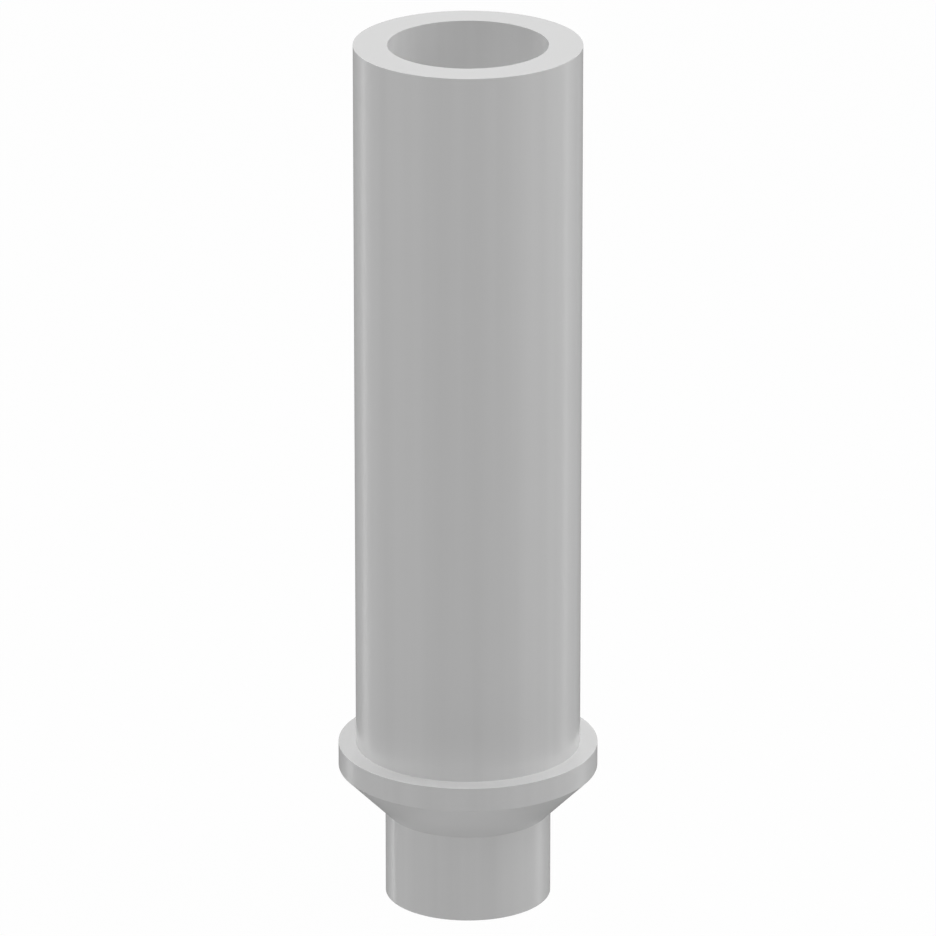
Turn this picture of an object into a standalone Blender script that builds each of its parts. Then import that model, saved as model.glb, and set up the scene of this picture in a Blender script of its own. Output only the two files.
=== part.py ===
"""Dental abutment: a plain, non-engaging sleeve that is screwed to an implant, trimmed, waxed up and cast.

One turned piece, open at both ends. From the foot up it has a round neck that enters the implant, a
45 degree cone that centres on the implant's bevel, a short round band, a flat ledge and a long thin tube.
Inside, the screw's head slides down the wide bore to a flat seat, and its shank leaves by a narrower hole.

Units are metres, +Z is the sleeve's axis, and the origin is the centre of the neck's foot.
"""

import math

import bpy

MM = 0.001

# The screw that the sleeve takes, and the room round its head
SCREW_HEAD_DIAMETER = 2.20 * MM
HEAD_CLEARANCE = 0.05 * MM

# Walls and steps, each measured on the radius
TUBE_WALL = 0.49 * MM
LEDGE_WIDTH = 0.255 * MM
SEAT_WIDTH = 0.15 * MM
NECK_WALL = 0.21 * MM

# Lengths along the axis, from the foot up
NECK_LENGTH = 1.31 * MM
BAND_HEIGHT = 0.36 * MM
TUBE_LENGTH = 10.645 * MM

# The cone's slope from the axis, and the web left between it and the corner of the screw seat
CONE_ANGLE = math.radians(45)
SEAT_WEB = 0.39 * MM

# Radii, worked outwards from the screw's head
BORE_RADIUS = SCREW_HEAD_DIAMETER / 2 + HEAD_CLEARANCE
TUBE_RADIUS = BORE_RADIUS + TUBE_WALL
BAND_RADIUS = TUBE_RADIUS + LEDGE_WIDTH
SHANK_HOLE_RADIUS = BORE_RADIUS - SEAT_WIDTH
NECK_RADIUS = SHANK_HOLE_RADIUS + NECK_WALL

# Heights above the foot
FOOT_Z = 0.0
CONE_FOOT_Z = FOOT_Z + NECK_LENGTH
BAND_FOOT_Z = CONE_FOOT_Z + (BAND_RADIUS - NECK_RADIUS) / math.tan(CONE_ANGLE)
LEDGE_Z = BAND_FOOT_Z + BAND_HEIGHT
RIM_Z = LEDGE_Z + TUBE_LENGTH

# The seat lies above the cone by the web, measured square to the cone's surface
CONE_Z_AT_BORE = CONE_FOOT_Z + (BORE_RADIUS - NECK_RADIUS) / math.tan(CONE_ANGLE)
SEAT_Z = CONE_Z_AT_BORE + SEAT_WEB / math.sin(CONE_ANGLE)

# Facets round the axis, and the least angle between two faces that reads as an edge
TURN_STEPS = 128
EDGE_ANGLE = math.radians(30)

# The plastic's look
PLASTIC_COLOR = (0.43, 0.43, 0.43, 1.0)
PLASTIC_ROUGHNESS = 0.42
PLASTIC_METALLIC = 0.0


def clear_scene():
    """Starts from an empty scene."""
    for obj in list(bpy.data.objects):
        bpy.data.objects.remove(obj, do_unlink=True)


def make_collection(name):
    """A collection of that name, linked to the scene."""
    collection = bpy.data.collections.new(name)
    bpy.context.scene.collection.children.link(collection)
    return collection


def make_plastic():
    """Pale burn-out plastic with a satin surface."""
    material = bpy.data.materials.new("burnout_plastic")
    material.use_nodes = True
    shader = material.node_tree.nodes["Principled BSDF"]
    shader.inputs["Base Color"].default_value = PLASTIC_COLOR
    shader.inputs["Roughness"].default_value = PLASTIC_ROUGHNESS
    shader.inputs["Metallic"].default_value = PLASTIC_METALLIC
    material.diffuse_color = PLASTIC_COLOR
    return material


def sleeve_outline():
    """Half of the sleeve's section as (radius, height): down the outside, then up the inside."""
    outside = [
        (TUBE_RADIUS, RIM_Z),
        (TUBE_RADIUS, LEDGE_Z),
        (BAND_RADIUS, LEDGE_Z),
        (BAND_RADIUS, BAND_FOOT_Z),
        (NECK_RADIUS, CONE_FOOT_Z),
        (NECK_RADIUS, FOOT_Z),
    ]
    inside = [
        (SHANK_HOLE_RADIUS, FOOT_Z),
        (SHANK_HOLE_RADIUS, SEAT_Z),
        (BORE_RADIUS, SEAT_Z),
        (BORE_RADIUS, RIM_Z),
    ]
    return outside + inside


def make_turned(name, outline, collection, material):
    """Turns a closed outline once round Z, and keeps its corners sharp."""
    corners = [(radius, 0.0, height) for radius, height in outline]
    edges = [(n, (n + 1) % len(corners)) for n in range(len(corners))]
    profile = bpy.data.meshes.new(name + "_profile")
    profile.from_pydata(corners, edges, [])
    piece = bpy.data.objects.new(name, profile)
    collection.objects.link(piece)

    turn = piece.modifiers.new("turn", "SCREW")
    turn.axis = "Z"
    turn.angle = math.tau
    turn.steps = TURN_STEPS
    turn.render_steps = TURN_STEPS
    turn.use_merge_vertices = False

    # A corner of the outline can only be marked as an edge on the turned mesh
    depsgraph = bpy.context.evaluated_depsgraph_get()
    turned = bpy.data.meshes.new_from_object(piece.evaluated_get(depsgraph))
    turned.name = name
    piece.modifiers.clear()
    piece.data = turned
    bpy.data.meshes.remove(profile)
    turned.shade_smooth()
    turned.set_sharp_from_angle(angle=EDGE_ANGLE)
    turned.materials.append(material)
    return piece


clear_scene()
abutment = make_collection("dental_abutment")
make_turned("abutment_sleeve", sleeve_outline(), abutment, make_plastic())
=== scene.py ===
import math

import bmesh
import bpy
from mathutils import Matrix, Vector


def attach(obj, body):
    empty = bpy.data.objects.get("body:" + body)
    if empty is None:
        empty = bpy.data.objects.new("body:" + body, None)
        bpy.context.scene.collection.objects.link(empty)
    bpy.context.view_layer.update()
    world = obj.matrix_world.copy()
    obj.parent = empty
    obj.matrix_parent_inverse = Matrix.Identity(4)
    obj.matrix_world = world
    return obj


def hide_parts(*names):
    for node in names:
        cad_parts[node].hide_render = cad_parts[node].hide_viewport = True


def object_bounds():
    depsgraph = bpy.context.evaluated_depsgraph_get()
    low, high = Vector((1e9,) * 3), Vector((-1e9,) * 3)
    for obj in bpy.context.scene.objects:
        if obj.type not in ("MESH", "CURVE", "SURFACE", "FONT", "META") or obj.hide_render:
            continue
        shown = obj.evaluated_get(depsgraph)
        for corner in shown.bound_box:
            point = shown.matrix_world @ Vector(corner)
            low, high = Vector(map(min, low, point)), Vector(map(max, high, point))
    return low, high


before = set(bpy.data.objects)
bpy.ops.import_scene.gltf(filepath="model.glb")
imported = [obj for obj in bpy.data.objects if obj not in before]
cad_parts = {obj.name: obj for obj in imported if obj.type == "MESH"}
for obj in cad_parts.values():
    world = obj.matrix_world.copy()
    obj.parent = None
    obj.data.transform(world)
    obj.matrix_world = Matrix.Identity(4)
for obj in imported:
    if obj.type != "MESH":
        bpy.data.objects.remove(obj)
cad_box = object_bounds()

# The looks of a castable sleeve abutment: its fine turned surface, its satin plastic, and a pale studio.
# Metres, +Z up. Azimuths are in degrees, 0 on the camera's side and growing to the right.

MM = 0.001
NODE = "abutment_sleeve"
SLOT = "burnout_plastic"

# The fine surface of the sleeve: steps round the axis, and the tiny rounding of every edge
TURN_STEPS = 384
EDGE_ROUNDING = 0.005 * MM
EDGE_SEGMENTS = 3

# How near two corners are merged, and how near two ends of an edge count as level
MERGE_DISTANCE = 1e-8
LEVEL_DISTANCE = 1e-7

# The plastic, with linear colours. Its streaks of painted shade and its clouds make it a little darker or
# paler, and glossier or rougher.
PLASTIC_DARK = (0.505, 0.505, 0.505, 1.0)
PLASTIC_PALE = (0.595, 0.595, 0.595, 1.0)
GLOSSIEST = 0.26
ROUGHEST = 0.28
CLOUD_SIZE = 1.2 * MM
CLOUD_DETAIL = 2.0
CLOUD_SHARE = 0.15

# The upright walls have long faint streaks of painted shade, with a slight relief, and the other faces have
# none
SHADE_STREAK_WIDTH = 0.34 * MM
SHADE_STREAK_STRETCH = 100.0
SHADE_STREAK_DETAIL = 3.0
STREAK_RELIEF_HEIGHT = 0.00020 * MM
UNSTREAKED = 0.5
UPRIGHT_LIMIT = 0.5

# The camera of the photograph, which looks a little down on the upright sleeve
IMAGE_SIDE = 936
FOCAL_PIXELS = 8750.0
SENSOR_WIDTH = 36.0
CAMERA_DISTANCE = 126.59 * MM
CAMERA_ELEVATION = 20.0
LOOK_AT = Vector((0.0, 0.0, 6.59 * MM))

# The studio. A level of 1 shows as white.
WHITE = (1.0, 1.0, 1.0, 1.0)
FILL_LEVEL = 0.135
SOFTBOX_SIDE = 60 * MM
SOFTBOX_DISTANCE = 100 * MM
FLOOR_RADIUS = 900 * MM
FLOOR_STEPS = 96
FLOOR_COLOR = (0.65, 0.65, 0.65, 1.0)
FLOOR_WHITE_SHARE = 0.97
FLOOR_DROP = 0.005 * MM

# The cards that only gloss sees, as parts of wide bowls round the sleeve, with their edges in degrees
DARK_CARD_DISTANCE = 300 * MM
BRIGHT_CARD_DISTANCE = 280 * MM
CARD_TOP = -5.0
DARK_CARD_FOOT = -90.0
BRIGHT_CARD_FOOT = -32.0
CARD_STEPS_DOWN = 24
CARD_STEPS_ROUND = 96


# Directions and the sleeve's section

def direction(azimuth, elevation):
    """The unit vector towards an azimuth and an elevation, both in degrees."""
    a, e = math.radians(azimuth), math.radians(elevation)
    return Vector((math.sin(a) * math.cos(e), -math.cos(a) * math.cos(e), math.sin(e)))


def read_section(node):
    """The radii and heights of the turned CAD node, in metres, read from its corners."""
    corners = {
        (round(math.hypot(v.co.x, v.co.y), 6), round(v.co.z, 7))
        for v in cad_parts[node].data.vertices
    }
    foot = min(z for r, z in corners)
    rim = max(z for r, z in corners)
    hole_radius, neck_radius = sorted(r for r, z in corners if z == foot)
    bore_radius, tube_radius = sorted(r for r, z in corners if z == rim)
    band_radius = max(r for r, z in corners)
    band_foot, ledge = sorted(z for r, z in corners if r == band_radius)
    return {
        "hole_radius": hole_radius,
        "neck_radius": neck_radius,
        "bore_radius": bore_radius,
        "tube_radius": tube_radius,
        "band_radius": band_radius,
        "foot": foot,
        "cone_foot": max(z for r, z in corners if r == neck_radius),
        "seat": min(z for r, z in corners if r == bore_radius),
        "band_foot": band_foot,
        "ledge": ledge,
        "rim": rim,
    }


# Shapes

def make_object(name, bm, material):
    """An object at the origin, with the bmesh as its mesh."""
    mesh = bpy.data.meshes.new(name)
    bm.to_mesh(mesh)
    bm.free()
    mesh.materials.append(material)
    obj = bpy.data.objects.new(name, mesh)
    bpy.context.scene.collection.objects.link(obj)
    return obj


def spin_outline(bm, points, degrees, steps):
    """Spins a line of points round Z, and closes it on itself after a full turn."""
    verts = [bm.verts.new(point) for point in points]
    edges = [bm.edges.new(pair) for pair in zip(verts, verts[1:])]
    bmesh.ops.spin(
        bm,
        geom=verts + edges,
        cent=(0.0, 0.0, 0.0),
        axis=(0.0, 0.0, 1.0),
        angle=math.radians(degrees),
        steps=steps,
        use_merge=degrees == 360,
    )
    bmesh.ops.remove_doubles(bm, verts=bm.verts, dist=MERGE_DISTANCE)
    bmesh.ops.recalc_face_normals(bm, faces=bm.faces)


def runs_round_the_axis(edge):
    """Whether an edge of the turned mesh lies along a ring, and so is a corner of the section."""
    a, b = (vert.co for vert in edge.verts)
    rise = abs(a.z - b.z)
    spread = abs(math.hypot(a.x, a.y) - math.hypot(b.x, b.y))
    return max(rise, spread) < LEVEL_DISTANCE


def make_sleeve(section, material):
    """The sleeve's outline, down the outside and up the inside, spun round the axis, with rounded edges."""
    outline = [
        (section["tube_radius"], 0.0, section["rim"]),
        (section["tube_radius"], 0.0, section["ledge"]),
        (section["band_radius"], 0.0, section["ledge"]),
        (section["band_radius"], 0.0, section["band_foot"]),
        (section["neck_radius"], 0.0, section["cone_foot"]),
        (section["neck_radius"], 0.0, section["foot"]),
        (section["hole_radius"], 0.0, section["foot"]),
        (section["hole_radius"], 0.0, section["seat"]),
        (section["bore_radius"], 0.0, section["seat"]),
        (section["bore_radius"], 0.0, section["rim"]),
        (section["tube_radius"], 0.0, section["rim"]),
    ]
    bm = bmesh.new()
    spin_outline(bm, outline, 360, TURN_STEPS)
    beveled = bmesh.ops.bevel(
        bm,
        geom=[edge for edge in bm.edges if runs_round_the_axis(edge)],
        offset=EDGE_ROUNDING,
        affect="EDGES",
        segments=EDGE_SEGMENTS,
        profile=0.5,
        material=-1,
    )
    for face in bm.faces:
        face.smooth = True

    # The smoothing stops where a rounding meets a broad face, which so keeps its own true normals
    roundings = set(beveled["faces"])
    for edge in bm.edges:
        edge.smooth = len(roundings.intersection(edge.link_faces)) != 1
    return make_object("sleeve", bm, material)


# Node trees

def new_material(name):
    """A material whose tree holds only its output, with that tree and output."""
    material = bpy.data.materials.new(name)
    material.use_nodes = True
    tree = material.node_tree
    tree.nodes.clear()
    return material, tree, add_node(tree, "ShaderNodeOutputMaterial")


def add_node(tree, kind, inputs=None, **settings):
    """A new node with its settings. Its inputs take values, or links from other nodes' outputs."""
    node = tree.nodes.new(kind)
    for name, value in settings.items():
        setattr(node, name, value)
    for name, value in (inputs or {}).items():
        if isinstance(value, bpy.types.NodeSocket):
            tree.links.new(value, node.inputs[name])
        else:
            node.inputs[name].default_value = value
    return node


def math_node(tree, operation, *values):
    """The result of a Math node on one or two values or links."""
    return add_node(tree, "ShaderNodeMath", dict(enumerate(values)), operation=operation).outputs["Value"]


def between(tree, share, low, high):
    """A value that runs from low to high as the share goes from 0 to 1."""
    node = add_node(tree, "ShaderNodeMapRange", {"Value": share, "To Min": low, "To Max": high})
    return node.outputs["Result"]


def blend(tree, share, first, second):
    """The first value or link where the share is 0, and the second where it is 1."""
    return add_node(tree, "ShaderNodeMix", {0: share, 2: first, 3: second}).outputs[0]


# Materials of the sleeve

def make_plastic():
    """Pale satin plastic: long faint streaks of painted shade, with a slight relief, on its upright walls,
    and soft clouds in its tone.
    """
    material, tree, output = new_material(SLOT)
    place = add_node(tree, "ShaderNodeTexCoord")
    at = place.outputs["Object"]

    clouds = add_node(
        tree,
        "ShaderNodeTexNoise",
        {"Vector": at, "Scale": 1 / CLOUD_SIZE, "Detail": CLOUD_DETAIL},
    )
    stretched_up = add_node(
        tree,
        "ShaderNodeMapping",
        {"Vector": at, "Scale": (1.0, 1.0, 1 / SHADE_STREAK_STRETCH)},
    )
    # Long streaks along the axis: painted shade in the colour, and a slight relief in the bump
    shade_and_relief_streaks = add_node(
        tree,
        "ShaderNodeTexNoise",
        {"Vector": stretched_up.outputs["Vector"], "Scale": 1 / SHADE_STREAK_WIDTH, "Detail": SHADE_STREAK_DETAIL},
    )

    facing = add_node(tree, "ShaderNodeSeparateXYZ", {"Vector": place.outputs["Normal"]}).outputs["Z"]
    upright = math_node(tree, "LESS_THAN", math_node(tree, "ABSOLUTE", facing), UPRIGHT_LIMIT)
    upright_shade_and_relief = blend(tree, upright, UNSTREAKED, shade_and_relief_streaks.outputs["Fac"])
    tone = blend(tree, CLOUD_SHARE, upright_shade_and_relief, clouds.outputs["Fac"])
    relief = math_node(tree, "MULTIPLY", upright_shade_and_relief, STREAK_RELIEF_HEIGHT)
    # The colour holds the streaks of painted shade and the clouds
    color = add_node(
        tree,
        "ShaderNodeMix",
        {0: tone, 6: PLASTIC_DARK, 7: PLASTIC_PALE},
        data_type="RGBA",
    )
    bump = add_node(tree, "ShaderNodeBump", {"Height": relief, "Distance": 1.0, "Strength": 1.0})
    shader = add_node(
        tree,
        "ShaderNodeBsdfPrincipled",
        {
            "Base Color": color.outputs[2],
            "Roughness": between(tree, tone, GLOSSIEST, ROUGHEST),
            "Normal": bump.outputs["Normal"],
        },
    )
    tree.links.new(shader.outputs["BSDF"], output.inputs["Surface"])
    return material


# Materials of the studio

def seen_as_background(tree):
    """1 for the rays that show the background: from the camera, in gloss and through glass."""
    path = add_node(tree, "ShaderNodeLightPath").outputs
    seen = math_node(tree, "MAXIMUM", path["Is Camera Ray"], path["Is Glossy Ray"])
    return math_node(tree, "MAXIMUM", seen, path["Is Transmission Ray"])


def make_floor_paper():
    """Pale paper. It shows as white and keeps a share of its real light, so that the sleeve's shadow stays.

    From below it is clear, so that it never hides the sleeve.
    """
    material, tree, output = new_material("floor_paper")
    paper = add_node(tree, "ShaderNodeBsdfDiffuse", {"Color": FLOOR_COLOR})
    white = add_node(tree, "ShaderNodeEmission", {"Color": WHITE})
    share = math_node(tree, "MULTIPLY", seen_as_background(tree), FLOOR_WHITE_SHARE)
    top = add_node(
        tree,
        "ShaderNodeMixShader",
        {0: share, 1: paper.outputs["BSDF"], 2: white.outputs["Emission"]},
    )
    clear = add_node(tree, "ShaderNodeBsdfTransparent")
    under = add_node(tree, "ShaderNodeNewGeometry").outputs["Backfacing"]
    both = add_node(
        tree,
        "ShaderNodeMixShader",
        {0: under, 1: top.outputs["Shader"], 2: clear.outputs["BSDF"]},
    )
    tree.links.new(both.outputs["Shader"], output.inputs["Surface"])
    return material


def make_card_surface(name, level):
    """A plain even surface of one level. It isn't a lamp: only the rays of gloss that meet it find it."""
    material, tree, output = new_material(name)
    surface = add_node(tree, "ShaderNodeEmission", {"Color": WHITE, "Strength": level})
    tree.links.new(surface.outputs["Emission"], output.inputs["Surface"])
    material.cycles.emission_sampling = "NONE"
    return material


# The studio

def show_to(obj, camera=False, gloss=False):
    """Hides a piece of the studio from all rays, apart from those named. It then casts no shadow either."""
    obj.visible_camera = camera
    obj.visible_glossy = gloss
    obj.visible_diffuse = False
    obj.visible_transmission = False
    obj.visible_shadow = False


def make_world():
    """A plain white room: white where it is seen, and a soft fill of its own level where it lights."""
    world = bpy.data.worlds.new("white_room")
    bpy.context.scene.world = world
    world.use_nodes = True
    tree = world.node_tree
    tree.nodes.clear()
    fill = add_node(tree, "ShaderNodeBackground", {"Color": WHITE, "Strength": FILL_LEVEL})
    white = add_node(tree, "ShaderNodeBackground", {"Color": WHITE})
    both = add_node(
        tree,
        "ShaderNodeMixShader",
        {0: seen_as_background(tree), 1: fill.outputs["Background"], 2: white.outputs["Background"]},
    )
    output = add_node(tree, "ShaderNodeOutputWorld")
    tree.links.new(both.outputs["Shader"], output.inputs["Surface"])


def make_floor():
    """A plain round floor just under the sleeve's foot, which the camera alone sees.

    The lamps under it shine through it, and the cards take its place in gloss.
    """
    bm = bmesh.new()
    bmesh.ops.create_circle(bm, cap_ends=True, segments=FLOOR_STEPS, radius=FLOOR_RADIUS)
    bmesh.ops.translate(bm, vec=(0.0, 0.0, cad_box[0].z - FLOOR_DROP), verts=bm.verts)
    floor = make_object("floor", bm, make_floor_paper())
    show_to(floor, camera=True)


def make_card(name, first, last, foot, distance, level):
    """A card from one azimuth to another, and from CARD_TOP down to the elevation of its foot."""
    drop = (foot - CARD_TOP) / CARD_STEPS_DOWN
    arc = [LOOK_AT + direction(first, CARD_TOP + drop * n) * distance for n in range(CARD_STEPS_DOWN + 1)]
    bm = bmesh.new()
    spin_outline(bm, arc, last - first, CARD_STEPS_ROUND)
    card = make_object(name, bm, make_card_surface(name, level))
    show_to(card, gloss=True)


def make_softbox(name, azimuth, elevation, level, casts_shadow=True, in_gloss=True):
    """A square lamp that faces the sleeve's middle, of that level where it is seen."""
    lamp = bpy.data.lights.new(name, "AREA")
    lamp.shape = "SQUARE"
    lamp.size = SOFTBOX_SIDE
    lamp.energy = level * math.pi * SOFTBOX_SIDE ** 2
    lamp.use_shadow = casts_shadow
    lamp.cycles.use_multiple_importance_sampling = casts_shadow
    box = bpy.data.objects.new(name, lamp)
    bpy.context.scene.collection.objects.link(box)
    towards = direction(azimuth, elevation)
    box.location = LOOK_AT + towards * SOFTBOX_DISTANCE
    box.rotation_euler = (-towards).to_track_quat("-Z", "Y").to_euler()
    box.visible_camera = False
    box.visible_glossy = in_gloss


def make_camera():
    """The photograph's camera, level and centred on the sleeve's axis."""
    lens = bpy.data.cameras.new("camera")
    lens.sensor_width = SENSOR_WIDTH
    lens.lens = FOCAL_PIXELS * SENSOR_WIDTH / IMAGE_SIDE
    lens.clip_start = 1 * MM
    lens.clip_end = 4 * FLOOR_RADIUS
    camera = bpy.data.objects.new("camera", lens)
    bpy.context.scene.collection.objects.link(camera)
    towards = direction(0.0, CAMERA_ELEVATION)
    camera.location = LOOK_AT + towards * CAMERA_DISTANCE
    camera.rotation_euler = (-towards).to_track_quat("-Z", "Y").to_euler()
    bpy.context.scene.camera = camera


# Putting it together

section = read_section(NODE)
sleeve = make_sleeve(section, make_plastic())
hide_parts(NODE)
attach(sleeve, "root")

make_world()
make_floor()
make_card("dark_card", 0, 360, DARK_CARD_FOOT, DARK_CARD_DISTANCE, level=0.15)
make_card("right_card", 116, 120.6, BRIGHT_CARD_FOOT, BRIGHT_CARD_DISTANCE, level=2.30)
make_card("left_card", -132, -128, BRIGHT_CARD_FOOT, BRIGHT_CARD_DISTANCE, level=3.19)

# The first three only soften the shading, so they cast no shadow. The front two stay out of gloss, so that
# the rim and the ring don't flare from behind.
make_softbox("overhead", azimuth=0, elevation=90, level=2.46, casts_shadow=False)
make_softbox("front_left", azimuth=-60, elevation=20, level=3.70, casts_shadow=False, in_gloss=False)
make_softbox("front_right", azimuth=60, elevation=20, level=2.58, casts_shadow=False, in_gloss=False)
make_softbox("high_front", azimuth=0, elevation=60, level=0.83)
make_softbox("high_right", azimuth=90, elevation=40, level=1.90)
make_softbox("right", azimuth=90, elevation=20, level=1.15)
make_softbox("back_right", azimuth=135, elevation=40, level=1.26)
make_softbox("back_left", azimuth=-135, elevation=40, level=2.70)

# Lamps from below stand in for the glow of a pale floor, and gloss doesn't show them
make_softbox("low_right", azimuth=60, elevation=-15, level=2.05, in_gloss=False)
make_softbox("low_left", azimuth=-60, elevation=-15, level=2.05, in_gloss=False)
make_softbox("under", azimuth=0, elevation=-90, level=3.40, in_gloss=False)
make_camera()
bpy.context.scene.view_settings.view_transform = "Standard"
